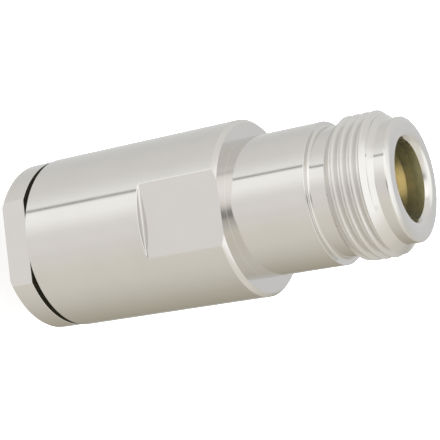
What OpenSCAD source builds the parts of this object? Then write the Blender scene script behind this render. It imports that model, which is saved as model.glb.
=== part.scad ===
// Straight clamp connector of the N series, socket side, for 10.3 mm coaxial cable.
// It stands on its clamp nut: the axis is Z, the nut's rear face is at z = 0 and the
// mating mouth looks up. The wrench flats face -Y and +Y.

/* [Mating end] */
// Bore that takes the plug's outer contact
bore_d = 8.1; // [7.8:0.05:8.4]
// Depth of the outer contact's seat behind the front rim
bore_depth = 9.1; // [8.6:0.1:9.6]
// Opening of the mouth at the front rim
mouth_d = 9.65; // [9.2:0.05:10.4]
// Inner edge of the mouth's countersink
throat_d = 8.8; // [8.5:0.05:9.1]
// Depth of the countersink
mouth_depth = 0.7; // [0.4:0.1:1]
// Length of the gentle lead-in behind the countersink
throat_len = 3; // [1:0.1:4]
// Outer conductor behind the contact seat
line_d = 7; // [6.6:0.1:7.4]
// Length of that conductor, up to the front insulator
line_len = 5.3; // [4.6:0.1:6]
// Smooth pilot ahead of the coupling thread
pilot_d = 13.6; // [12.6:0.1:14]
// Length of the pilot
pilot_len = 1.6; // [1:0.1:2.4]
// Chamfer at the front rim, across
rim_chamfer_w = 0.7; // [0.2:0.05:1]
// Chamfer at the front rim, along the axis
rim_chamfer_h = 0.3; // [0.1:0.05:0.5]

/* [Coupling thread] */
// Major diameter of the 5/8 inch thread
thread_d = 15.875; // [15.2:0.025:16.4]
// Pitch, 24 turns to the inch
thread_pitch = 1.0583; // [0.9:0.0001:1.2]
// Depth of the thread
thread_depth = 0.62; // [0.4:0.01:0.7]
// Threaded length, from the relief groove to the front taper
thread_len = 4.3; // [3.4:0.1:5]
// Plain land that ends the thread at its front
land_len = 0.15; // [0.1:0.05:0.5]
// Floor of the relief groove behind the thread
relief_d = 14.4; // [14:0.1:14.8]
// Length of the relief groove
relief_len = 2; // [1.4:0.05:3]
// Fillet in the relief groove's rear corner
relief_fillet = 0.45; // [0.1:0.05:0.6]

/* [Shell] */
// Neck between the relief groove and the barrel
neck_d = 15.9; // [15.2:0.1:16.6]
// Length of the neck
neck_len = 9.55; // [8:0.05:12]
// Edge break at the neck's front
neck_chamfer = 0.1; // [0.05:0.05:0.2]
// Fillet where the neck meets the barrel
neck_fillet = 0.15; // [0.05:0.05:0.4]
// Barrel
barrel_d = 20.2; // [19.8:0.1:22]
// Length of the barrel
barrel_len = 25.35; // [24:0.05:30]
// Chamfer at the barrel's front edge
barrel_chamfer = 0.45; // [0.2:0.05:0.7]
// Chamfer at the barrel's rear edge
barrel_rear_chamfer = 0.2; // [0.1:0.05:0.4]
// Width across the barrel's wrench flats
barrel_flats_w = 18.4; // [17.6:0.1:19.2]
// Length of the barrel's wrench flats
barrel_flats_len = 9.9; // [6:0.1:14]

/* [Clamp nut] */
// How far the nut's head stays inside the barrel's outline
nut_inset = 0.1; // [0.05:0.05:0.5]
// Length of the head
nut_head_len = 3.15; // [2.6:0.05:4.5]
// Width across the nut's wrench flats
nut_flats_w = 17.4; // [17:0.1:18.6]
// Angle at which the tightened nut's flats stop, from the barrel's
nut_angle = -1.6; // [-30:0.1:30]
// Chamfer at the head's rear edge
nut_chamfer = 0.5; // [0.2:0.05:0.7]
// Gap left between the tightened nut and the barrel
nut_gap = 0.75; // [0.3:0.05:1.2]
// Major diameter of the nut's thread
nut_thread_d = 17.4; // [17:0.1:17.8]
// Length that the nut reaches into the barrel
nut_reach = 7.65; // [6.5:0.05:9]
// Length of the barrel's inner thread
inner_thread_len = 10; // [9.2:0.1:11]
// Undercut between the head and the thread
undercut_d = 16; // [15:0.1:16.1]
// Length of the undercut
undercut_len = 1.4; // [1.3:0.1:2]
// Cable entry through the nut
entry_d = 10.9; // [10.5:0.1:11.5]
// Flare at the rear of the cable entry
entry_flare = 0.7; // [0.3:0.1:1.2]

/* [Clamp stack] */
// Bore that holds the gasket and the braid clamp
stack_d = 16.2; // [15.8:0.1:16.4]
// Thickness of the slip washer
washer_t = 1; // [0.6:0.1:1.6]
// Length of the rubber cable gasket
gasket_len = 4.5; // [3.5:0.1:5.5]
// Hole of the gasket
gasket_hole_d = 10.4; // [10.1:0.1:10.8]
// Depth of the gasket's V groove
groove_depth = 1; // [0.6:0.05:1.3]
// Mean diameter of the V groove
groove_d = 13.2; // [12.8:0.1:13.6]
// Length of the braid clamp ahead of the gasket
clamp_len = 5; // [4:0.1:6]
// Straight rim of the braid clamp
clamp_rim_len = 1.6; // [1:0.1:2.4]
// Nose of the braid clamp
clamp_nose_d = 12.6; // [12.2:0.1:13.2]
// Hole of the braid clamp, over the cable's braid
clamp_hole_d = 8.9; // [8.6:0.1:9.4]

/* [Insulators] */
// Outer diameter of both insulators
insulator_d = 11; // [10.6:0.1:11.4]
// Length of the front insulator
front_insulator_len = 5; // [4:0.1:6]
// Step cut back in the insulators' end faces
insulator_step = 0.6; // [0.3:0.1:0.9]

/* [Centre contact] */
// Contact barrel
contact_d = 3.04; // [2.9:0.01:3.2]
// Recess of the contact's tip behind the front rim
tip_recess = 3.9; // [3.8:0.05:4.4]
// Hole for the plug's centre pin
socket_d = 1.7; // [1.65:0.01:1.8]
// Depth of the socket
socket_depth = 6.5; // [6:0.1:8]
// Width of the four slots
slot_w = 0.28; // [0.2:0.01:0.3]
// Length of the four slots
slot_len = 5.4; // [4:0.1:5.8]
// Collar that the insulators hold
collar_d = 5; // [4.6:0.1:5.6]
// Thickness of the collar
collar_t = 1.2; // [0.8:0.1:1.6]
// Solder cup
cup_d = 3.6; // [3.4:0.1:3.9]
// Length of the solder cup behind the collar
cup_len = 6.6; // [6:0.1:7.4]
// Hole for the cable's centre conductor
cup_hole_d = 2.4; // [2.3:0.05:2.6]
// Depth of the solder cup
cup_depth = 5; // [4:0.1:5.6]
// Sight hole in the cup's side
sight_hole_d = 1; // [0.8:0.1:1.3]

/* [Hidden] */
$fn = 96;

// Clearances, on the radius
thread_fit = 0.05;
stack_fit = 0.05;
insulator_fit = 0.02;
contact_fit = 0.03;
// Overshoot of cutting tools
over = 1;

nut_d = barrel_d - 2 * nut_inset;

// Levels of the outside, from the nut's rear face up
barrel_z = nut_head_len + nut_gap;
neck_z = barrel_z + barrel_len;
relief_z = neck_z + neck_len;
thread_z = relief_z + relief_len;
lead_z = thread_z + thread_len;
lead_len = (thread_d - pilot_d) / 2;
step_fillet = min(relief_fillet, (neck_d - relief_d) / 2 - neck_chamfer);
pilot_z = lead_z + lead_len;
front_z = pilot_z + pilot_len;
barrel_flats_z = neck_z - barrel_flats_len;

// Levels of the inside, up from the nut's front face and down from the front rim
nut_front_z = barrel_z + nut_reach;
gasket_z = nut_front_z + washer_t;
clamp_z = gasket_z + gasket_len;
shoulder_z = clamp_z + clamp_len;
seat_z = front_z - bore_depth;
tip_z = front_z - tip_recess;
bead_z = seat_z - line_len;
collar_z = bead_z - front_insulator_len - collar_t;
cup_z = collar_z - cup_len;

// Crest and root widths of a 60 degree thread, and the first groove behind the land
crest_w = thread_pitch / 8;
root_w = thread_pitch - crest_w - 2 * thread_depth * tan(30);
first_groove_z = lead_z - land_len - (thread_pitch - crest_w) / 2;
groove_count = floor((first_groove_z - thread_z) / thread_pitch) + 1;
// Short straight steps in each fillet
arc_steps = 6;

module turned(outline) {
  rotate_extrude() polygon(outline);
}

// Points along a quarter circle or less, for fillets in an outline
function arc(centre, radius, from, to) = [
  for (i = [0 : arc_steps])
    let (a = from + (to - from) * i / arc_steps)
      centre + radius * [cos(a), sin(a)]
];

// Outline of one thread groove centred on z, open past the major radius
function groove_outline(z) = [
  [thread_d / 2 - thread_depth, z - root_w / 2],
  [thread_d / 2 + over, z - root_w / 2 - (thread_depth + over) * tan(30)],
  [thread_d / 2 + over, z + root_w / 2 + (thread_depth + over) * tan(30)],
  [thread_d / 2 - thread_depth, z + root_w / 2]
];

// Two cutters that leave parallel flats w apart between z and z + h
module flats_cutter(w, d, z, h) {
  for (side = [0, 180])
    rotate([0, 0, side])
      translate([-d / 2, w / 2, z])
        cube([d, d, h]);
}

module shell_outside() {
  turned([
    [0, barrel_z],
    [barrel_d / 2 - barrel_rear_chamfer, barrel_z],
    [barrel_d / 2, barrel_z + barrel_rear_chamfer],
    [barrel_d / 2, neck_z - barrel_chamfer],
    [barrel_d / 2 - barrel_chamfer, neck_z],
    each arc([neck_d / 2 + neck_fillet, neck_z + neck_fillet], neck_fillet, 270, 180),
    [neck_d / 2, relief_z - neck_chamfer],
    [neck_d / 2 - neck_chamfer, relief_z],
    each arc([relief_d / 2 + step_fillet, relief_z + step_fillet], step_fillet, 270, 180),
    [relief_d / 2, thread_z],
    [thread_d / 2, thread_z + (thread_d - relief_d) / 2],
    [thread_d / 2, lead_z],
    [pilot_d / 2, pilot_z],
    [pilot_d / 2, front_z - rim_chamfer_h],
    [pilot_d / 2 - rim_chamfer_w, front_z],
    [0, front_z]
  ]);
}

module shell_inside() {
  turned([
    [0, barrel_z - over],
    [nut_thread_d / 2 + thread_fit + barrel_rear_chamfer + over, barrel_z - over],
    [nut_thread_d / 2 + thread_fit, barrel_z + barrel_rear_chamfer],
    [nut_thread_d / 2 + thread_fit, barrel_z + inner_thread_len],
    [stack_d / 2, barrel_z + inner_thread_len],
    [stack_d / 2, shoulder_z],
    [insulator_d / 2, shoulder_z],
    [insulator_d / 2, bead_z],
    [line_d / 2, bead_z],
    [line_d / 2, seat_z],
    [bore_d / 2, seat_z],
    [bore_d / 2, front_z - mouth_depth - throat_len],
    [throat_d / 2, front_z - mouth_depth],
    [mouth_d / 2, front_z],
    [mouth_d / 2, front_z + over],
    [0, front_z + over]
  ]);
}

module shell() {
  color([0.82, 0.81, 0.79])
    difference() {
      shell_outside();
      shell_inside();
      flats_cutter(barrel_flats_w, barrel_d, barrel_flats_z, barrel_flats_len + over);
      for (i = [0 : groove_count - 1])
        turned(groove_outline(first_groove_z - i * thread_pitch));
    }
}

module front_insulator() {
  rim = insulator_d / 2 - insulator_fit;
  color([0.95, 0.95, 0.93])
    turned([
      [contact_d / 2 + contact_fit, collar_z + collar_t],
      [rim, collar_z + collar_t],
      [rim, bead_z],
      [line_d / 2, bead_z],
      [line_d / 2, bead_z - insulator_step],
      [contact_d / 2 + contact_fit, bead_z - insulator_step]
    ]);
}

module rear_insulator() {
  rim = insulator_d / 2 - insulator_fit;
  back_z = shoulder_z + insulator_step;
  color([0.95, 0.95, 0.93])
    turned([
      [cup_d / 2 + contact_fit, back_z],
      [rim, back_z],
      [rim, collar_z + collar_t],
      [collar_d / 2 + contact_fit, collar_z + collar_t],
      [collar_d / 2 + contact_fit, collar_z],
      [cup_d / 2 + contact_fit, collar_z]
    ]);
}

module contact_outside() {
  tip_chamfer = 0.2;
  turned([
    [0, cup_z],
    [cup_d / 2, cup_z],
    [cup_d / 2, collar_z],
    [collar_d / 2, collar_z],
    [collar_d / 2, collar_z + collar_t],
    [contact_d / 2, collar_z + collar_t],
    [contact_d / 2, tip_z - tip_chamfer],
    [contact_d / 2 - tip_chamfer, tip_z],
    [0, tip_z]
  ]);
}

module centre_contact() {
  color([0.85, 0.66, 0.3])
    difference() {
      contact_outside();
      translate([0, 0, tip_z - socket_depth])
        cylinder(d = socket_d, h = socket_depth + over);
      translate([0, 0, cup_z - over])
        cylinder(d = cup_hole_d, h = cup_depth + over);
      translate([0, 0, cup_z + cup_depth / 2])
        rotate([90, 0, 0])
          cylinder(d = sight_hole_d, h = cup_d);
      for (turn = [0, 90])
        rotate([0, 0, turn])
          translate([-contact_d, -slot_w / 2, tip_z - slot_len])
            cube([2 * contact_d, slot_w, slot_len + over]);
    }
}

module braid_clamp() {
  rim = stack_d / 2 - stack_fit;
  groove_half = groove_depth * tan(30);
  color([0.8, 0.79, 0.76])
    turned([
      [clamp_hole_d / 2, clamp_z],
      [groove_d / 2 - groove_half, clamp_z],
      [groove_d / 2, clamp_z - groove_depth],
      [groove_d / 2 + groove_half, clamp_z],
      [rim, clamp_z],
      [rim, clamp_z + clamp_rim_len],
      [clamp_nose_d / 2, shoulder_z],
      [clamp_hole_d / 2, shoulder_z]
    ]);
}

module cable_gasket() {
  rim = stack_d / 2 - stack_fit;
  groove_half = groove_depth * tan(30);
  color([0.16, 0.16, 0.17])
    turned([
      [gasket_hole_d / 2, gasket_z],
      [rim, gasket_z],
      [rim, clamp_z],
      [groove_d / 2 + groove_half, clamp_z],
      [groove_d / 2, clamp_z - groove_depth],
      [groove_d / 2 - groove_half, clamp_z],
      [gasket_hole_d / 2, clamp_z]
    ]);
}

module slip_washer() {
  color([0.8, 0.79, 0.76])
    turned([
      [entry_d / 2, nut_front_z],
      [stack_d / 2 - stack_fit, nut_front_z],
      [stack_d / 2 - stack_fit, gasket_z],
      [entry_d / 2, gasket_z]
    ]);
}

module clamp_nut() {
  thread_r = nut_thread_d / 2;
  step = (nut_thread_d - undercut_d) / 2;
  nut_thread_z = nut_head_len + undercut_len;
  color([0.82, 0.81, 0.79])
    difference() {
      turned([
        [entry_d / 2 + entry_flare, 0],
        [nut_d / 2 - nut_chamfer, 0],
        [nut_d / 2, nut_chamfer],
        [nut_d / 2, nut_head_len],
        [undercut_d / 2, nut_head_len],
        [undercut_d / 2, nut_thread_z - step],
        [thread_r, nut_thread_z],
        [thread_r, nut_front_z - step],
        [undercut_d / 2, nut_front_z],
        [entry_d / 2, nut_front_z],
        [entry_d / 2, entry_flare]
      ]);
      rotate([0, 0, nut_angle])
        flats_cutter(nut_flats_w, nut_d, -over, nut_head_len + undercut_len / 2 + over);
    }
}

shell();
front_insulator();
centre_contact();
rear_insulator();
braid_clamp();
cable_gasket();
slip_washer();
clamp_nut();
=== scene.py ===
# Coaxial cable jack with a clamp nut: turned plated shell with a screw-cut coupling thread,
# slotted gold contact, white insulators, rubber gasket, washer and clamp nut.
# It stands on its nut, its axis is Z and the wrench flats face -Y and +Y.

import math

import bpy
from bpy.props import FloatProperty, FloatVectorProperty, IntProperty, PointerProperty
from bpy.types import Operator, Panel, PropertyGroup
from mathutils import Matrix, Vector


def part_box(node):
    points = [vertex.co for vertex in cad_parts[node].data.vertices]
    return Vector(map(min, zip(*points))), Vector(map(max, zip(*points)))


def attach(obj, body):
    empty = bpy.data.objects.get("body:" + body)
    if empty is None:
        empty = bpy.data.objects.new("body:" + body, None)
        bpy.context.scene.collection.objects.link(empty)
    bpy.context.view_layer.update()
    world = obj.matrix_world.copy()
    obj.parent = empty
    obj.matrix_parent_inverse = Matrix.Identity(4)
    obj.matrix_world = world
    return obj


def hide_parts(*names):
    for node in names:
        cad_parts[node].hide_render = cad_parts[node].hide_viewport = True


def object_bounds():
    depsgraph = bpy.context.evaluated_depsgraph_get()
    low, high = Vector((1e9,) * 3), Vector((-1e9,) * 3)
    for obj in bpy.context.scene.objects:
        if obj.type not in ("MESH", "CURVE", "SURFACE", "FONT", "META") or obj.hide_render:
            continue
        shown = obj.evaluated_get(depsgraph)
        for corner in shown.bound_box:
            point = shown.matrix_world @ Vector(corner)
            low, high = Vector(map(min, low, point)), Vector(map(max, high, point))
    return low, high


bl_info = {
    "name": "Coaxial Jack Builder",
    "version": (1, 0, 0),
    "blender": (4, 5, 0),
    "location": "View3D > Sidebar > Jack",
    "description": "Builds a clamp-type coaxial jack around its packed frame",
    "category": "Add Mesh",
}

MM = 0.001
COLLAR_AT, COLLAR_LEN = 6.6, 1.2  # the contact's collar above its rear end, in millimetres
FLOOR_GAP = 6.2 * MM  # clear of the nut when it is unscrewed
FLOOR_GLOW = 0.78
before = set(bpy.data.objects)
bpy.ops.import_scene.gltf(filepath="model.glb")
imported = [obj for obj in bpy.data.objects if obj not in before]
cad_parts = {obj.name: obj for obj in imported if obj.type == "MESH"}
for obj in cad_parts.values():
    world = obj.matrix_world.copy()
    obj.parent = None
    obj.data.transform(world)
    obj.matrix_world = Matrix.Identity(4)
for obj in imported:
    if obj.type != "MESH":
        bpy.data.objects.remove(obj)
cad_low, cad_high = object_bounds()
shell_low, shell_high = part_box("shell")
nut_low, nut_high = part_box("clamp_nut")
contact_low, contact_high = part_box("centre_contact")
washer_low, washer_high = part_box("slip_washer")
gasket_low, gasket_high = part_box("cable_gasket")
clamp_low, clamp_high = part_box("braid_clamp")
bead_low, bead_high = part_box("front_insulator")
back_low, back_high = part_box("rear_insulator")


# ------------------------------------------------------------------ sizes and finishes


def size(name, description, value, low=0.0, high=0.1):
    return FloatProperty(
        name=name, description=description, default=value, min=low, max=high,
        subtype="DISTANCE", unit="LENGTH", precision=6,
    )


def tint(name, description, rgb):
    return FloatVectorProperty(
        name=name, description=description, default=rgb, size=3, min=0.0, max=1.0,
        subtype="COLOR",
    )


class JackShellSizes(PropertyGroup):
    """Sizes of the turned shell"""

    barrel_r: size("Barrel radius", "Radius of the barrel", shell_high.x)
    barrel_chamfer: size("Barrel chamfer", "Chamfer at the barrel's front", 0.45 * MM)
    rear_chamfer: size("Rear chamfer", "Chamfer at the barrel's rear", 0.08 * MM)
    neck_r: size("Neck radius", "Radius of the neck", 7.95 * MM)
    neck_len: size("Neck length", "Length of the neck", 9.55 * MM)
    neck_fillet: size("Neck fillet", "Fillet where the neck meets the barrel", 0.02 * MM)
    neck_edge: size("Neck edge", "Rounding of the neck's front edge", 0.1 * MM)
    relief_r: size("Relief radius", "Floor of the groove behind the thread", 7.2 * MM)
    relief_len: size("Relief length", "Length of the groove behind the thread", 2.0 * MM)
    relief_fillet: size("Relief fillet", "Fillet in the groove's rear corner", 0.45 * MM)
    thread_r: size("Thread radius", "Crest radius of the coupling thread", 7.9375 * MM)
    thread_len: size("Thread length", "Length of the coupling thread", 4.3 * MM)
    thread_depth: size("Thread depth", "Depth of the coupling thread", 0.62 * MM)
    pitch: size("Pitch", "Advance of the coupling thread in one turn", 1.0583 * MM)
    pilot_r: size("Pilot radius", "Smooth end ahead of the thread", 6.8 * MM)
    pilot_len: size("Pilot length", "Length of the smooth end", 1.6 * MM)
    flats_w: size("Flats width", "Width across the barrel's wrench flats", 18.4 * MM)
    flats_len: size("Flats length", "Length of the wrench flats", 9.9 * MM)
    bore_r: size("Bore radius", "Bore for the plug's outer contact", 4.05 * MM)
    bore_depth: size("Bore depth", "Depth of the contact seat", 9.1 * MM)
    line_r: size("Line radius", "Outer conductor behind the seat", 3.5 * MM)
    mouth_r: size("Mouth radius", "Opening at the front rim", 4.825 * MM)
    mouth_depth: size("Mouth depth", "Depth of the countersink", 0.7 * MM)
    mouth_round: size("Mouth rounding", "Rounding from the rim to the countersink", 0.62 * MM)
    throat_r: size("Throat radius", "Inner edge of the countersink", 4.4 * MM)
    throat_len: size("Throat length", "Gentle lead-in behind the countersink", 3.0 * MM)
    throat_blend: size("Throat blend", "Soft bend from the lead-in to the bore", 25.0 * MM)
    rim_w: size("Rim chamfer width", "Chamfer at the front rim, across", 0.7 * MM)
    rim_h: size("Rim chamfer height", "Chamfer at the front rim, along the axis", 0.3 * MM)
    insulator_r: size("Insulator seat radius", "Bore that holds the insulators", 5.5 * MM)
    stack_r: size("Stack radius", "Bore that holds the gasket and braid clamp", 8.1 * MM)
    inner_thread_len: size("Inner thread length", "Threaded rear of the barrel", 10.0 * MM)
    nut_fit: size("Nut clearance", "Clearance round the clamp nut's thread", 0.05 * MM)
    tool_nose: size("Tool nose", "Fillet that the cutter leaves at the flats' shoulder", 0.2 * MM)
    edge_round: size("Edge rounding", "Rounding of the turned edges", 0.07 * MM)
    flat_round: size("Flat rounding", "Rounding along the edges of the flats", 0.1 * MM)


class JackNutSizes(PropertyGroup):
    """Sizes of the clamp nut"""

    head_r: size("Head radius", "Radius of the nut's head", 10.0 * MM)
    head_len: size("Head length", "Length of the nut's head", 3.15 * MM)
    flats_w: size("Flats width", "Width across the nut's wrench flats", 17.4 * MM)
    flats_angle: FloatProperty(
        name="Flats angle", description="Angle at which the tightened nut stops",
        default=math.radians(-1.6), subtype="ANGLE", unit="ROTATION",
    )
    thread_r: size("Thread radius", "Crest radius of the nut's thread", 8.7 * MM)
    thread_depth: size("Thread depth", "Depth of the nut's thread", 0.5 * MM)
    undercut_r: size("Undercut radius", "Neck behind the thread", 8.0 * MM)
    undercut_len: size("Undercut length", "Length of the undercut", 1.4 * MM)
    head_chamfer: size("Head chamfer", "Chamfer at the head's rear", 0.3 * MM)
    entry_r: size("Entry radius", "Hole that the cable enters", 5.45 * MM)
    entry_flare: size("Entry flare", "Chamfer at the rear of the hole", 0.7 * MM)


class JackFinish(PropertyGroup):
    """Colours and finish of the materials"""

    plating: tint("Plating", "Bright plated metal", (0.735, 0.727, 0.712))
    # The bore tint is painted shade with a painted reflection of the gold contact.
    bore: tint("Bore", "Duller plating inside the bore", (0.42, 0.4, 0.28))
    # The shade tint is painted shade, a dark colour for the gap between the nut's head and the
    # shell.
    shade: tint("Shade", "Dull plating in the gap behind the shell", (0.17, 0.165, 0.115))
    gold: tint("Gold", "Gold plated contact", (0.93, 0.76, 0.42))
    dielectric: tint("Dielectric", "White turned insulator", (0.87, 0.87, 0.85))
    rubber: tint("Rubber", "Moulded gasket", (0.022, 0.022, 0.024))
    turning: size("Turning marks", "Spacing of the lathe's marks", 0.11 * MM)
    segments: IntProperty(
        name="Segments", description="Steps round each turned piece",
        default=140, min=48, max=256,
    )


def mm(value):
    """A length in metres as millimetres."""
    return value / MM


def shell_sizes():
    return bpy.context.scene.jack_shell


def nut_sizes():
    return bpy.context.scene.jack_nut


def finish():
    return bpy.context.scene.jack_finish


# ------------------------------------------------------------------ modelling in millimetres


def deselect():
    """Leaves object mode with nothing selected."""
    if bpy.context.object and bpy.context.object.mode != "OBJECT":
        bpy.ops.object.mode_set(mode="OBJECT")
    bpy.ops.object.select_all(action="DESELECT")


def activate(obj):
    """Selects one object alone and makes it the active one."""
    deselect()
    obj.select_set(True)
    bpy.context.view_layer.objects.active = obj


def eased(corners, edge=0.0):
    """Rounds the corners of a closed outline; a third number is a corner's own radius."""
    points = []
    for i, corner in enumerate(corners):
        p = Vector(corner[:2])
        radius = corner[2] if len(corner) > 2 else edge
        a = Vector(corners[i - 1][:2]) - p
        b = Vector(corners[(i + 1) % len(corners)][:2]) - p
        inside = a.angle(b)
        if radius <= 0 or p.x < 1e-6 or inside > math.radians(177):
            points.append((p.x, p.y))
            continue
        run = min(radius / math.tan(inside / 2), 0.45 * a.length, 0.45 * b.length)
        radius = run * math.tan(inside / 2)
        centre = p + (a.normalized() + b.normalized()).normalized() * (
            radius / math.sin(inside / 2)
        )
        start = p + a.normalized() * run - centre
        end = p + b.normalized() * run - centre
        first = math.atan2(start.y, start.x)
        sweep = (math.atan2(end.y, end.x) - first + math.pi) % (2 * math.pi) - math.pi
        steps = max(2, round(abs(sweep) / math.radians(18)))
        for k in range(steps + 1):
            turn = first + sweep * k / steps
            points.append((centre.x + radius * math.cos(turn), centre.y + radius * math.sin(turn)))
    return points


def outline_object(name, points):
    """A closed outline of (r, z) points in the XZ plane, drawn by extruding one vertex."""
    deselect()
    bpy.ops.mesh.primitive_plane_add(size=1, location=(0, 0, 0))
    obj = bpy.context.object
    obj.name = name
    obj.data.name = name
    bpy.ops.object.mode_set(mode="EDIT")
    bpy.ops.mesh.select_all(action="SELECT")
    bpy.ops.mesh.merge(type="CENTER")
    bpy.ops.transform.translate(value=(points[0][0], 0, points[0][1]))
    for (r0, z0), (r1, z1) in zip(points, points[1:]):
        bpy.ops.mesh.extrude_region_move(
            TRANSFORM_OT_translate={"value": (r1 - r0, 0, z1 - z0)}
        )
    bpy.ops.object.mode_set(mode="OBJECT")
    mesh = obj.data
    if len(mesh.vertices) != len(points):
        raise RuntimeError(f"{name}: the outline has {len(mesh.vertices)} points")
    for vertex in mesh.vertices:
        vertex.select = vertex.index in (0, len(points) - 1)
    bpy.ops.object.mode_set(mode="EDIT")
    bpy.ops.mesh.edge_face_add()
    bpy.ops.object.mode_set(mode="OBJECT")
    return obj


def turned(name, points, steps):
    """A closed outline spun once round Z, welded and turned outwards."""
    obj = outline_object(name, points)
    activate(obj)
    bpy.ops.object.mode_set(mode="EDIT")
    bpy.ops.mesh.select_all(action="SELECT")
    bpy.ops.mesh.spin(
        steps=steps, angle=2 * math.pi, center=(0, 0, 0), axis=(0, 0, 1),
        use_auto_merge=True,
    )
    bpy.ops.mesh.select_all(action="SELECT")
    bpy.ops.mesh.remove_doubles(threshold=0.0005)
    bpy.ops.mesh.normals_make_consistent(inside=False)
    bpy.ops.object.mode_set(mode="OBJECT")
    return obj


def box_cutter(low, high):
    """A box between two corners, to cut with."""
    deselect()
    low, high = Vector(low), Vector(high)
    bpy.ops.mesh.primitive_cube_add(size=1, location=(low + high) / 2)
    obj = bpy.context.object
    obj.scale = high - low
    bpy.ops.object.transform_apply(location=True, rotation=False, scale=True)
    return obj


def rotate(obj, angle):
    """Turns a piece round Z and keeps it unturned as an object."""
    activate(obj)
    obj.rotation_euler = (0, 0, angle)
    bpy.ops.object.transform_apply(location=False, rotation=True, scale=False)


def thread_cutter(crest_r, depth, pitch, groove_z, turns):
    """A right-hand helical groove of 60 degrees that leaves rounded crests, closed at its ends."""
    slope = math.tan(math.radians(30))
    steps, over, crest_round, root_round = 72, 0.5, 0.09, 0.05
    root_r, top_r = crest_r - depth, crest_r - 0.006
    root = (pitch * 7 / 8 - 2 * depth * slope) / 2
    edge = min(root + (top_r - root_r) * slope, pitch / 2 - 0.01)
    wall = min(edge + crest_round * slope, pitch / 2 - 0.008)
    outline = eased([
        (crest_r + over, groove_z - wall), (top_r, groove_z - wall),
        (top_r, groove_z - edge, crest_round), (root_r, groove_z - root, root_round),
        (root_r, groove_z + root, root_round), (top_r, groove_z + edge, crest_round),
        (top_r, groove_z + wall), (crest_r + over, groove_z + wall),
    ])
    obj = outline_object("thread_cutter", outline)
    activate(obj)
    screw = obj.modifiers.new("Screw", "SCREW")
    screw.axis = "Z"
    screw.angle = 2 * math.pi * turns
    screw.screw_offset = pitch * turns
    screw.iterations = 1
    screw.steps = screw.render_steps = int(steps * turns)
    screw.use_merge_vertices = False
    screw.use_smooth_shade = False
    bpy.ops.object.modifier_apply(modifier=screw.name)
    bpy.ops.object.mode_set(mode="EDIT")
    bpy.ops.mesh.select_mode(type="VERT")
    bpy.ops.mesh.select_all(action="DESELECT")
    bpy.ops.mesh.select_non_manifold(
        extend=False, use_wire=False, use_boundary=True, use_multi_face=False,
        use_non_contiguous=False, use_verts=False,
    )
    bpy.ops.mesh.fill_holes(sides=0)
    bpy.ops.mesh.select_all(action="SELECT")
    bpy.ops.mesh.normals_make_consistent(inside=False)
    bpy.ops.object.mode_set(mode="OBJECT")
    return obj


def groove_box(low, high, nose):
    """A box cutter whose lower inner edge carries the tool's nose radius, for a flat at +Y."""
    corners = [
        (low[1], low[2], nose), (high[1], low[2]), (high[1], high[2]), (low[1], high[2]),
    ]
    obj = outline_object("flat_cutter", eased(corners))
    activate(obj)
    bpy.ops.object.mode_set(mode="EDIT")
    bpy.ops.mesh.select_all(action="SELECT")
    bpy.ops.mesh.edge_face_add()
    bpy.ops.transform.translate(value=(0, low[0], 0))
    bpy.ops.mesh.extrude_region_move(
        TRANSFORM_OT_translate={"value": (0, high[0] - low[0], 0)}
    )
    bpy.ops.mesh.select_all(action="SELECT")
    bpy.ops.mesh.normals_make_consistent(inside=False)
    bpy.ops.object.mode_set(mode="OBJECT")
    rotate(obj, math.pi / 2)
    return obj


def turn_over(obj):
    """A copy of a cutter on the other side of the axis."""
    activate(obj)
    bpy.ops.object.duplicate()
    other = bpy.context.object
    rotate(other, math.pi)
    return other


def ease_cut(obj, is_cut, width, top):
    """Bevels the border between the faces left by a cutter and the rest, below a height."""
    activate(obj)
    mesh = obj.data
    marked = [is_cut(face.center, face.normal) for face in mesh.polygons]
    sides = {}
    for face in mesh.polygons:
        for key in face.edge_keys:
            sides.setdefault(key, []).append(marked[face.index])
    border = []
    for edge in mesh.edges:
        kinds = sides.get(tuple(sorted(edge.vertices)), [])
        low = all(mesh.vertices[i].co.z < top for i in edge.vertices)
        if low and len(kinds) == 2 and kinds[0] != kinds[1]:
            border.append(edge.index)
    if not border:
        raise RuntimeError(f"{obj.name}: the cut left no border to round")
    bpy.ops.object.mode_set(mode="EDIT")
    bpy.ops.mesh.select_mode(type="EDGE")
    bpy.ops.mesh.select_all(action="DESELECT")
    bpy.ops.object.mode_set(mode="OBJECT")
    for index in border:
        mesh.edges[index].select = True
    bpy.ops.object.mode_set(mode="EDIT")
    bpy.ops.mesh.bevel(
        offset=width, offset_type="OFFSET", segments=3, profile=0.5,
        affect="EDGES", clamp_overlap=False,
    )
    bpy.ops.mesh.select_all(action="SELECT")
    bpy.ops.mesh.remove_doubles(threshold=0.002)
    bpy.ops.mesh.normals_make_consistent(inside=False)
    bpy.ops.mesh.select_mode(type="VERT")
    bpy.ops.object.mode_set(mode="OBJECT")


def cut(obj, *cutters):
    """Subtracts each cutter from a piece and cleans what the cuts leave."""
    for cutter in cutters:
        activate(obj)
        modifier = obj.modifiers.new("Cut", "BOOLEAN")
        modifier.operation = "DIFFERENCE"
        modifier.solver = "EXACT"
        modifier.object = cutter
        bpy.ops.object.modifier_apply(modifier=modifier.name)
        deselect()
        bpy.data.objects.remove(cutter)
    activate(obj)
    bpy.ops.object.mode_set(mode="EDIT")
    bpy.ops.mesh.select_all(action="SELECT")
    bpy.ops.mesh.remove_doubles(threshold=0.0005)
    bpy.ops.mesh.dissolve_degenerate(threshold=0.0005)
    bpy.ops.object.mode_set(mode="OBJECT")


def round_edges(obj, width, segments=2):
    """Rounds every edge that turns by more than 20 degrees."""
    activate(obj)
    bevel = obj.modifiers.new("Round", "BEVEL")
    bevel.width = width
    bevel.segments = segments
    bevel.limit_method = "ANGLE"
    bevel.angle_limit = math.radians(20)
    bevel.use_clamp_overlap = True
    bevel.miter_outer = "MITER_ARC"
    bpy.ops.object.modifier_apply(modifier=bevel.name)


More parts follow.
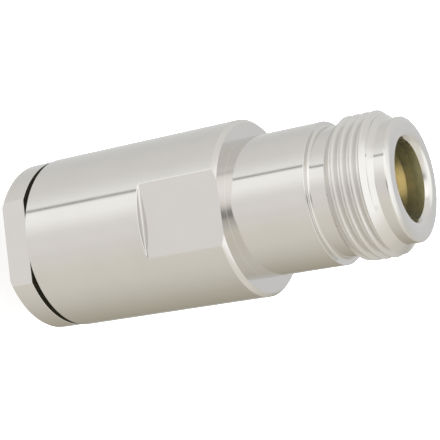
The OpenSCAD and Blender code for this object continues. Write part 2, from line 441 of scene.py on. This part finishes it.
def settle(obj, node, body, material, smooth=28):
    """Shrinks the piece from millimetres, shades it and hands it to the frame."""
    activate(obj)
    obj.scale = (MM, MM, MM)
    bpy.ops.object.transform_apply(location=True, rotation=True, scale=True)
    bpy.ops.object.shade_smooth_by_angle(angle=math.radians(smooth), keep_sharp_edges=True)
    weighted = obj.modifiers.new("Normals", "WEIGHTED_NORMAL")
    weighted.mode = "FACE_AREA"
    weighted.weight = 50
    weighted.keep_sharp = True
    bpy.ops.object.modifier_apply(modifier=weighted.name)
    obj.data.materials.clear()
    obj.data.materials.append(material)
    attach(obj, body)
    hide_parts(node)


# ------------------------------------------------------------------ materials


class Nodes:
    """Adds and links nodes of one tree by short calls."""

    def __init__(self, tree):
        self.tree = tree
        self.tree.nodes.clear()

    def add(self, kind, inputs=None, **settings):
        node = self.tree.nodes.new(kind)
        for key, value in settings.items():
            setattr(node, key, value)
        for key, value in (inputs or {}).items():
            if isinstance(value, bpy.types.NodeSocket):
                self.tree.links.new(value, node.inputs[key])
            else:
                node.inputs[key].default_value = value
        return node

    def math(self, operation, a, b=0.0, c=0.0, clamp=False):
        node = self.add("ShaderNodeMath", {0: a, 1: b, 2: c}, operation=operation, use_clamp=clamp)
        return node.outputs[0]

    def mix(self, factor, a, b):
        node = self.add("ShaderNodeMix", {"Factor": factor}, data_type="RGBA")
        for key, value in (("A", a), ("B", b)):
            if isinstance(value, bpy.types.NodeSocket):
                self.tree.links.new(value, node.inputs[key])
            else:
                node.inputs[key].default_value = (*value, 1.0)
        return node.outputs["Result"]

    def noise(self, vector, scale, detail, roughness=0.5):
        return self.add("ShaderNodeTexNoise", {
            "Vector": vector, "Scale": scale, "Detail": detail, "Roughness": roughness,
        }).outputs[0]

    def ramp(self, factor, stops):
        node = self.add("ShaderNodeValToRGB", {0: factor})
        ramp = node.color_ramp
        ramp.interpolation = "LINEAR"
        while len(ramp.elements) > 1:
            ramp.elements.remove(ramp.elements[-1])
        for i, (position, colour) in enumerate(stops):
            element = ramp.elements[0] if i == 0 else ramp.elements.new(position)
            element.position = position
            if isinstance(colour, (int, float)):
                colour = (colour, colour, colour)
            element.color = (*colour, 1.0)
        return node.outputs[0]


def new_material(name):
    material = bpy.data.materials.new(name)
    material.use_nodes = True
    return material, Nodes(material.node_tree)


def around_axis(n):
    """Object coordinates with the radius from the axis and the height along it."""
    place = n.add("ShaderNodeTexCoord").outputs["Object"]
    x, y, z = n.add("ShaderNodeSeparateXYZ", {0: place}).outputs
    radius = n.math("SQRT", n.math("MULTIPLY_ADD", x, x, n.math("MULTIPLY", y, y)))
    return place, radius, z


def zone(n, radius, z, reach, low, high):
    """1 within a radius and between two heights, and 0 elsewhere."""
    span = n.math("MULTIPLY", n.math("GREATER_THAN", z, low), n.math("LESS_THAN", z, high))
    return n.math("MULTIPLY", n.math("LESS_THAN", radius, reach), span)


def turned_metal(name, colour, roughness, metallic=1.0, thread=None, dull=None):
    """Turned metal with fine lathe marks and soft clouding.

    thread is a zone (reach, low, high) with a rougher cut and a painted lighter tone against
    the shade in its grooves; dull is a zone, its painted shade colour and the roughness it adds.
    """
    material, n = new_material(name)
    place, radius, z = around_axis(n)
    spread = n.math("MULTIPLY", radius, 1.7)
    rings = n.add("ShaderNodeCombineXYZ", {0: spread, 1: 0.0, 2: z}).outputs[0]
    fine = n.noise(rings, 1.0 / finish().turning, 3.0, 0.6)
    broad = n.noise(rings, 900.0, 2.0)
    cloud = n.noise(place, 260.0, 4.0, 0.55)
    shade = n.math("ADD", n.math("MULTIPLY", n.math("SUBTRACT", fine, 0.5), 0.035),
                   n.math("MULTIPLY", n.math("SUBTRACT", cloud, 0.5), 0.056))
    factor = n.math("ADD", shade, 0.5, clamp=True)
    lighter = [min(1.0, c * 1.05) for c in colour]
    tone = n.ramp(factor, [(0.45, [c * 0.93 for c in colour]), (0.5, colour), (0.55, lighter)])
    rough = n.math("ADD", n.math("MULTIPLY", fine, 0.05),
                   n.math("MULTIPLY_ADD", cloud, 0.06, roughness - 0.055))
    if thread:
        inside = zone(n, radius, z, *thread)
        # Painted light: the thread's zone is tinted lighter to offset the shade in its grooves.
        tone = n.mix(inside, tone, lighter)
        rough = n.math("ADD", rough, n.math("MULTIPLY", inside, 0.2))
    if dull:
        # Painted shade: the zone takes a darker colour that stands in for the shade falling there.
        *span, dull_colour, matt = dull
        inside = zone(n, radius, z, *span)
        tone = n.mix(inside, tone, dull_colour)
        rough = n.math("ADD", rough, n.math("MULTIPLY", inside, matt))
        metallic = n.math("MULTIPLY_ADD", inside, -0.1, metallic)
    height = n.math("ADD", n.math("MULTIPLY", fine, 0.5), n.math("MULTIPLY", broad, 0.9))
    bump = n.add("ShaderNodeBump", {"Strength": 0.25, "Distance": 0.000004, "Height": height})
    shader = n.add("ShaderNodeBsdfPrincipled", {
        "Base Color": tone, "Metallic": metallic, "Roughness": rough, "Normal": bump.outputs[0],
    })
    n.add("ShaderNodeOutputMaterial", {0: shader.outputs[0]})
    return material


def dielectric_material(name, colour):
    """White turned plastic, slightly waxy, with faint turning rings."""
    material, n = new_material(name)
    place, radius, z = around_axis(n)
    rings = n.add("ShaderNodeCombineXYZ", {0: radius, 1: 0.0, 2: z}).outputs[0]
    fine = n.noise(rings, 7000.0, 2.0)
    tone = n.ramp(fine, [(0.3, [c * 0.93 for c in colour]), (0.7, colour)])
    bump = n.add("ShaderNodeBump", {"Strength": 0.4, "Distance": 0.00001, "Height": fine})
    shader = n.add("ShaderNodeBsdfPrincipled", {
        "Base Color": tone, "Roughness": n.math("MULTIPLY_ADD", fine, 0.15, 0.38),
        "Normal": bump.outputs[0], "Subsurface Weight": 0.15, "Subsurface Scale": 0.0006,
    })
    n.add("ShaderNodeOutputMaterial", {0: shader.outputs[0]})
    return material


def rubber_material(name, colour):
    """Matt moulded rubber with a fine grain."""
    material, n = new_material(name)
    place = n.add("ShaderNodeTexCoord").outputs["Object"]
    grain = n.noise(place, 4200.0, 4.0)
    tone = n.ramp(grain, [(0.3, [c * 0.8 for c in colour]), (0.7, [c * 1.5 for c in colour])])
    bump = n.add("ShaderNodeBump", {"Strength": 0.5, "Distance": 0.00002, "Height": grain})
    shader = n.add("ShaderNodeBsdfPrincipled", {
        "Base Color": tone, "Roughness": n.math("MULTIPLY_ADD", grain, 0.2, 0.55),
        "Normal": bump.outputs[0],
    })
    n.add("ShaderNodeOutputMaterial", {0: shader.outputs[0]})
    return material


def shared_material(name, build, *args, **options):
    """Builds a material the first time that it is asked for."""
    return bpy.data.materials.get(name) or build(name, *args, **options)


def plating(name="bright_plating", **zones):
    return shared_material(name, turned_metal, list(finish().plating), 0.1, **zones)


def shell_plating():
    """Plating with a rougher coupling thread painted lighter, and painted shade with a painted
    gold reflection in the bore.
    """
    s = shell_sizes()
    front = shell_high.z
    lead_z = front - s.pilot_len - (s.thread_r - s.pilot_r)
    thread = (s.thread_r + 0.02 * MM, lead_z - s.thread_len + 0.2 * MM, lead_z + 0.1 * MM)
    # The bore zone's dark olive colour is painted shade with a painted reflection of the gold
    # contact.
    bore = (s.throat_r + 0.02 * MM, front - s.bore_depth - 0.1 * MM,
            front - s.mouth_depth + 0.01 * MM)
    return plating("shell_plating", thread=thread, dull=(*bore, list(finish().bore), 0.02))


def nut_plating():
    """Plating with painted shade where the nut's head faces the gap behind the shell."""
    s = nut_sizes()
    head_z = nut_low.z + s.head_len
    # The gap zone carries painted shade, standing in for the shadow between the head and the
    # shell.
    gap = (s.head_r - 0.08 * MM, head_z - 0.03 * MM, head_z + 0.8 * MM)
    return plating("nut_plating", dull=(*gap, list(finish().shade), 0.35))


# ------------------------------------------------------------------ pieces


class JACK_OT_shell(Operator):
    """Turns the shell, mills its wrench flats and cuts the coupling thread"""

    bl_idname = "jack.shell"
    bl_label = "Shell"

    def execute(self, context):
        s = shell_sizes()
        low, front = mm(shell_low.z), mm(shell_high.z)
        rim_z = front - mm(s.rim_h)
        throat_z = front - mm(s.mouth_depth)
        bore_z = throat_z - mm(s.throat_len)
        pilot_z = front - mm(s.pilot_len)
        lead_z = pilot_z - mm(s.thread_r - s.pilot_r)
        thread_z = lead_z - mm(s.thread_len)
        relief_z = thread_z - mm(s.relief_len)
        neck_z = relief_z - mm(s.neck_len)
        seat_z = front - mm(s.bore_depth)
        bead_z = mm(bead_high.z)
        shoulder_z = mm(clamp_high.z)
        inner_thread_z = low + mm(s.inner_thread_len)
        barrel, neck, relief = mm(s.barrel_r), mm(s.neck_r), mm(s.relief_r)
        crest, pilot, bore, line = mm(s.thread_r), mm(s.pilot_r), mm(s.bore_r), mm(s.line_r)
        insulator, stack = mm(s.insulator_r), mm(s.stack_r)
        nut_bore = mm(nut_sizes().thread_r + s.nut_fit)
        rear, chamfer = mm(s.rear_chamfer), mm(s.barrel_chamfer)
        shell = turned("shell_turned", eased([
            (barrel - rear, low), (barrel, low + rear), (barrel, neck_z - chamfer),
            (barrel - chamfer, neck_z), (neck, neck_z, mm(s.neck_fillet)),
            (neck, relief_z, mm(s.neck_edge)), (relief, relief_z, mm(s.relief_fillet)),
            (relief, thread_z, 0.12), (crest, thread_z + crest - relief),
            (crest, lead_z), (pilot, pilot_z), (pilot, rim_z, 0.3),
            (pilot - mm(s.rim_w), front, 0.7), (mm(s.mouth_r), front, mm(s.mouth_round)),
            (mm(s.throat_r), throat_z, 0.05), (bore, bore_z, mm(s.throat_blend)),
            (bore, seat_z), (line, seat_z), (line, bead_z), (insulator, bead_z),
            (insulator, shoulder_z), (stack, shoulder_z), (stack, inner_thread_z),
            (nut_bore, inner_thread_z), (nut_bore, low + rear), (nut_bore + rear, low),
        ], mm(s.edge_round)), finish().segments)
        half, reach, nose = mm(s.flats_w) / 2, barrel + 2, mm(s.tool_nose)
        flats_z = neck_z - mm(s.flats_len)
        side = groove_box((-reach, half, flats_z), (reach, reach, neck_z + 0.5), nose)
        cut(shell, side, turn_over(side))

        def milled(centre, normal):
            y, z = abs(centre.y), centre.z
            if z < flats_z - 0.01 or y < half - 0.01 or abs(normal.x) > 0.02:
                return False
            flat = abs(normal.y) > 0.999 and y < half + 0.002
            shoulder = normal.z > 0.999 and z < flats_z + 0.002
            corner = normal.z > 0.02 and y < half + nose and z < flats_z + nose
            return flat or shoulder or corner

        ease_cut(shell, milled, mm(s.flat_round), neck_z - chamfer + 0.02)
        first_groove_z, turns = thread_z - 1.14, 6.3
        cut(shell, thread_cutter(crest, mm(s.thread_depth), mm(s.pitch), first_groove_z, turns))
        settle(shell, "shell", "connector", shell_plating())
        return {"FINISHED"}


class JACK_OT_nut(Operator):
    """Turns the clamp nut, mills its flats and cuts its thread"""

    bl_idname = "jack.nut"
    bl_label = "Clamp nut"

    def execute(self, context):
        s = nut_sizes()
        low, front = mm(nut_low.z), mm(nut_high.z)
        head_z = low + mm(s.head_len)
        thread_z = head_z + mm(s.undercut_len)
        step = mm(s.thread_r - s.undercut_r)
        head, crest, undercut = mm(s.head_r), mm(s.thread_r), mm(s.undercut_r)
        entry, flare, chamfer = mm(s.entry_r), mm(s.entry_flare), mm(s.head_chamfer)
        nut = turned("clamp_nut_turned", eased([
            (entry + flare, low), (head - chamfer, low), (head, low + chamfer),
            (head, head_z), (undercut, head_z), (undercut, thread_z - step),
            (crest, thread_z), (crest, front - step), (undercut, front), (entry, front),
            (entry, low + flare),
        ], mm(shell_sizes().edge_round)), finish().segments)
        half, reach = mm(s.flats_w) / 2, head + 2
        top = head_z + mm(s.undercut_len) / 2
        cut(
            nut,
            box_cutter((-reach, -reach, low - 1), (reach, -half, top)),
            box_cutter((-reach, half, low - 1), (reach, reach, top)),
        )
        first_groove_z, turns = head_z + 0.75, 7.6
        cut(nut, thread_cutter(crest, mm(s.thread_depth), mm(shell_sizes().pitch),
                               first_groove_z, turns))
        rotate(nut, s.flats_angle)
        settle(nut, "clamp_nut", "nut", nut_plating(), smooth=24)
        return {"FINISHED"}


class JACK_OT_contact(Operator):
    """Turns the centre contact and saws the slots of its spring fingers"""

    bl_idname = "jack.contact"
    bl_label = "Centre contact"

    def execute(self, context):
        low, tip = mm(contact_low.z), mm(contact_high.z)
        collar_z, collar_top = low + COLLAR_AT, low + COLLAR_AT + COLLAR_LEN
        barrel, cup, collar = 1.52, 1.8, mm(contact_high.x)
        socket, socket_z, cup_hole, cup_z = 0.85, tip - 6.5, 1.2, low + 5.0
        drill_point, lead = 0.35, 0.12
        nose_r = 0.28
        nose = [
            (barrel - nose_r + nose_r * math.cos(a), tip - nose_r + nose_r * math.sin(a))
            for a in (math.radians(15 * i) for i in range(7))
        ]
        contact = turned("contact_turned", [
            (0.0, cup_z + drill_point), (cup_hole, cup_z), (cup_hole, low), (cup, low),
            (cup, collar_z), (collar, collar_z), (collar, collar_top), (barrel, collar_top),
            *nose, (socket + lead, tip), (socket, tip - lead), (socket, socket_z),
            (0.0, socket_z - 0.4),
        ], 96)
        half, length = 0.14, 5.4
        deselect()
        bpy.ops.mesh.primitive_cylinder_add(vertices=48, radius=0.5, depth=3,
                                            location=(0, -2.2, low + 2.5),
                                            rotation=(math.pi / 2, 0, 0))
        sight = bpy.context.object
        bpy.ops.object.transform_apply(location=True, rotation=True, scale=True)
        cut(
            contact,
            box_cutter((-3, -half, tip - length), (3, half, tip + 1)),
            box_cutter((-half, -3, tip - length), (half, 3, tip + 1)),
            sight,
        )
        round_edges(contact, 0.03)
        gold = shared_material("gold_plating", turned_metal, list(finish().gold), 0.4, 0.3)
        settle(contact, "centre_contact", "connector", gold)
        return {"FINISHED"}


class JACK_OT_inner(Operator):
    """Turns the insulators, the braid clamp, the gasket and the slip washer"""

    bl_idname = "jack.inner"
    bl_label = "Insulators and clamp stack"

    def execute(self, context):
        steps = 128
        white = shared_material("white_dielectric", dielectric_material,
                                list(finish().dielectric))
        black = shared_material("gasket_rubber", rubber_material, list(finish().rubber))
        collar_z = mm(contact_low.z) + COLLAR_AT
        collar_top = collar_z + COLLAR_LEN
        rim, line, recess = mm(bead_high.x), mm(shell_sizes().line_r), 0.6
        pin, cup, collar = 1.55, 1.83, mm(contact_high.x) + 0.03
        low, high = mm(bead_low.z), mm(bead_high.z)
        bead = turned("front_insulator_turned", [
            (pin, low), (rim, low), (rim, high), (line, high), (line, high - recess),
            (pin, high - recess),
        ], steps)
        round_edges(bead, 0.08)
        settle(bead, "front_insulator", "connector", white)
        low = mm(back_low.z)
        back = turned("rear_insulator_turned", [
            (cup, low), (rim, low), (rim, collar_top), (collar, collar_top),
            (collar, collar_z), (cup, collar_z),
        ], steps)
        round_edges(back, 0.08)
        settle(back, "rear_insulator", "connector", white)
        rim, hole, groove, groove_r = mm(gasket_high.x), 5.2, 1.0, 6.6
        half = groove * math.tan(math.radians(30))
        low, high = mm(gasket_low.z), mm(gasket_high.z)
        gasket = turned("gasket_moulded", [
            (hole, low), (rim, low), (rim, high), (groove_r + half, high),
            (groove_r, high - groove), (groove_r - half, high), (hole, high),
        ], steps)
        round_edges(gasket, 0.12, 3)
        settle(gasket, "cable_gasket", "connector", black)
        low, high = high, mm(clamp_high.z)
        hole, nose, land = 4.45, 6.3, 1.6
        clamp = turned("braid_clamp_turned", [
            (hole, low), (groove_r - half, low), (groove_r, low - groove),
            (groove_r + half, low), (rim, low), (rim, low + land), (nose, high), (hole, high),
        ], steps)
        round_edges(clamp, 0.05)
        settle(clamp, "braid_clamp", "connector", plating())
        low, high = mm(washer_low.z), mm(washer_high.z)
        rim, hole = mm(washer_high.x), mm(nut_sizes().entry_r)
        washer = turned("slip_washer_turned", [
            (hole, low), (rim, low), (rim, high), (hole, high),
        ], steps)
        round_edges(washer, 0.08)
        settle(washer, "slip_washer", "washer", plating())
        return {"FINISHED"}


# ------------------------------------------------------------------ stage


def display(rgb, base):
    """The light that shows a colour, from 0 to 255 on each channel, on metal of a base tone."""
    return [((c / 255 + 0.055) / 1.055) ** 2.4 / base for c in rgb]


# Light round the axis below the horizon, by the angle from -Y towards +X in degrees
RING = [
    (-180, (196, 197, 197)), (-150, (193, 193, 192)), (-135, (190, 190, 189)),
    (-115, (191, 190, 188)), (-97, (197, 195, 192)), (-77, (201, 198, 195)),
    (-64, (208, 207, 204)), (-54, (218, 218, 215)), (-49.6, (226, 226, 224)),
    (-48.7, (138, 138, 135)), (-45.9, (138, 138, 135)),  # a thin dark strip
    (-44.7, (234, 234, 231)), (-29, (231, 231, 228)),
    (-20, (222, 220, 218)), (-12, (212, 209, 206)), (-3, (208, 206, 203)),
    (6, (209, 205, 202)), (17, (204, 201, 197)), (28, (204, 200, 194)),
    (43, (201, 197, 188)), (67, (197, 193, 184)), (83, (190, 186, 177)),
    (99, (181, 177, 167)), (115, (171, 166, 155)), (131, (162, 157, 144)),
    (147, (152, 147, 133)), (157, (142, 138, 126)), (168, (172, 170, 164)),
    (180, (196, 197, 197)),
]
# The same above the horizon, with a dark patch near -Y and bright light beside it
UPPER_RING = [
    (-180, (190, 190, 190)), (-150, (196, 196, 195)), (-125, (201, 200, 197)),
    (-95, (206, 203, 199)), (-78, (208, 205, 201)), (-66, (218, 216, 212)),
    (-62, (200, 198, 194)), (-57, (238, 235, 231)), (-46, (252, 250, 247)),
    (-32, (254, 252, 249)), (-20, (246, 243, 240)), (-11, (234, 230, 226)),
    (-4, (205, 201, 198)), (2, (150, 149, 146)), (9, (138, 137, 134)),
    (17, (185, 182, 176)), (24, (196, 193, 188)), (34, (212, 208, 198)),
    (55, (211, 206, 197)), (75, (211, 207, 199)), (86, (211, 207, 199)),
    (101, (207, 203, 194)), (116, (204, 200, 191)), (134, (192, 188, 179)),
    (165, (190, 189, 187)), (180, (190, 190, 190)),
]
# Share of the light overhead, by the height of its direction
DOME = [
    (0.6, 0.0), (0.719, 0.13), (0.766, 0.38), (0.809, 0.58), (0.848, 0.76), (0.906, 0.93),
    (1.0, 1.0),
]


def studio_world():
    """Soft light that is even overhead and varies round the object, plain white behind it."""
    world = bpy.data.worlds.new("soft_studio")
    bpy.context.scene.world = world
    world.use_nodes = True
    n = Nodes(world.node_tree)
    base = sum(finish().plating) / 3
    direction = n.add("ShaderNodeTexCoord").outputs["Generated"]
    x, y, z = n.add("ShaderNodeSeparateXYZ", {0: direction}).outputs
    around = n.math("ARCTAN2", x, n.math("MULTIPLY", y, -1.0))
    ring_at = n.math("MULTIPLY_ADD", around, 1 / (2 * math.pi), 0.5)
    lower, upper = (
        n.ramp(ring_at, [(angle / 360 + 0.5, display(rgb, base)) for angle, rgb in table])
        for table in (RING, UPPER_RING)
    )
    lean = math.radians(6)
    raised = n.math("MULTIPLY_ADD", z, math.cos(lean), n.math("MULTIPLY", y, -math.sin(lean)))
    climb = n.add("ShaderNodeMapRange", {0: z, 1: -0.3, 2: 0.3}, clamp=True).outputs[0]
    overhead = display((243, 243, 241), base)
    light = n.mix(n.ramp(raised, DOME), n.mix(climb, lower, upper), overhead)
    tent = n.add("ShaderNodeBackground", {0: light, 1: 1.0})
    white = n.add("ShaderNodeBackground", {0: (1, 1, 1, 1), 1: 1.0})
    seen = n.add("ShaderNodeLightPath").outputs["Is Camera Ray"]
    both = n.add("ShaderNodeMixShader", {0: seen, 1: tent.outputs[0], 2: white.outputs[0]})
    n.add("ShaderNodeOutputWorld", {0: both.outputs[0]})


class JACK_OT_stage(Operator):
    """Lays the pale floor and sets the studio light and the camera"""

    bl_idname = "jack.stage"
    bl_label = "Studio"

    def execute(self, context):
        scene = context.scene
        studio_world()
        deselect()
        bpy.ops.mesh.primitive_grid_add(
            x_subdivisions=8, y_subdivisions=8, size=1.2,
            location=(0, 0, cad_low.z - FLOOR_GAP),
        )
        floor = context.object
        floor.name = "floor"
        bpy.ops.object.transform_apply(location=True, rotation=True, scale=True)
        material, n = new_material("pale_floor")
        diffuse = n.add("ShaderNodeBsdfDiffuse", {0: (0.4, 0.4, 0.4, 1)})
        glow = n.add("ShaderNodeEmission", {0: (1, 1, 1, 1), 1: FLOOR_GLOW})
        path = n.add("ShaderNodeLightPath")
        seen = n.math("MAXIMUM", path.outputs["Is Camera Ray"],
                      n.math("MAXIMUM", path.outputs["Is Glossy Ray"],
                             path.outputs["Is Transmission Ray"]))
        both = n.add("ShaderNodeAddShader", {0: diffuse.outputs[0], 1: glow.outputs[0]})
        plain = n.add("ShaderNodeBsdfDiffuse", {0: (0.85, 0.85, 0.85, 1)})
        mix = n.add("ShaderNodeMixShader", {0: seen, 1: plain.outputs[0], 2: both.outputs[0]})
        n.add("ShaderNodeOutputMaterial", {0: mix.outputs[0]})
        floor.data.materials.append(material)
        floor.visible_glossy = False

        deselect()
        bpy.ops.object.light_add(type="AREA", location=(-0.05, 0.13, 0.42))
        lamp = context.object
        lamp.name = "soft_lamp"
        lamp.data.shape = "SQUARE"
        lamp.data.size = 0.3
        lamp.data.energy = 9.0
        aim = Vector((0, 0, 24 * MM)) - lamp.location
        lamp.rotation_euler = aim.to_track_quat("-Z", "Y").to_euler()
        lamp.visible_glossy = False

        deselect()
        bpy.ops.object.camera_add(location=(0.01326, -0.14113, 0.10313))
        camera = context.object
        camera.name = "camera"
        right = Vector((0.1372, 0.4944, 0.8583)).normalized()
        back = Vector((0.0780, -0.8692, 0.4882)).normalized()
        up = back.cross(right).normalized()
        turn = Matrix((right, up, back)).transposed()
        camera.rotation_euler = turn.to_euler()
        camera.data.sensor_width = 36.0
        camera.data.lens = 116.9
        camera.data.clip_start = 0.01
        camera.data.clip_end = 10.0
        scene.camera = camera
        scene.view_settings.view_transform = "Standard"
        return {"FINISHED"}


class JACK_PT_panel(Panel):
    """Lists the builder's steps"""

    bl_idname = "JACK_PT_panel"
    bl_label = "Coaxial Jack"
    bl_space_type = "VIEW_3D"
    bl_region_type = "UI"
    bl_category = "Jack"

    def draw(self, context):
        column = self.layout.column()
        for step in STEPS:
            column.operator(step)


STEPS = ("jack.stage", "jack.shell", "jack.nut", "jack.contact", "jack.inner")
CLASSES = (
    JackShellSizes, JackNutSizes, JackFinish, JACK_OT_stage, JACK_OT_shell, JACK_OT_nut,
    JACK_OT_contact, JACK_OT_inner, JACK_PT_panel,
)


def register():
    for cls in CLASSES:
        bpy.utils.register_class(cls)
    bpy.types.Scene.jack_shell = PointerProperty(type=JackShellSizes)
    bpy.types.Scene.jack_nut = PointerProperty(type=JackNutSizes)
    bpy.types.Scene.jack_finish = PointerProperty(type=JackFinish)


def unregister():
    del bpy.types.Scene.jack_finish
    del bpy.types.Scene.jack_nut
    del bpy.types.Scene.jack_shell
    for cls in reversed(CLASSES):
        bpy.utils.unregister_class(cls)


def main():
    register()
    bpy.ops.jack.stage()
    bpy.ops.jack.shell()
    bpy.ops.jack.nut()
    bpy.ops.jack.contact()
    bpy.ops.jack.inner()


if __name__ == "__main__":
    main()
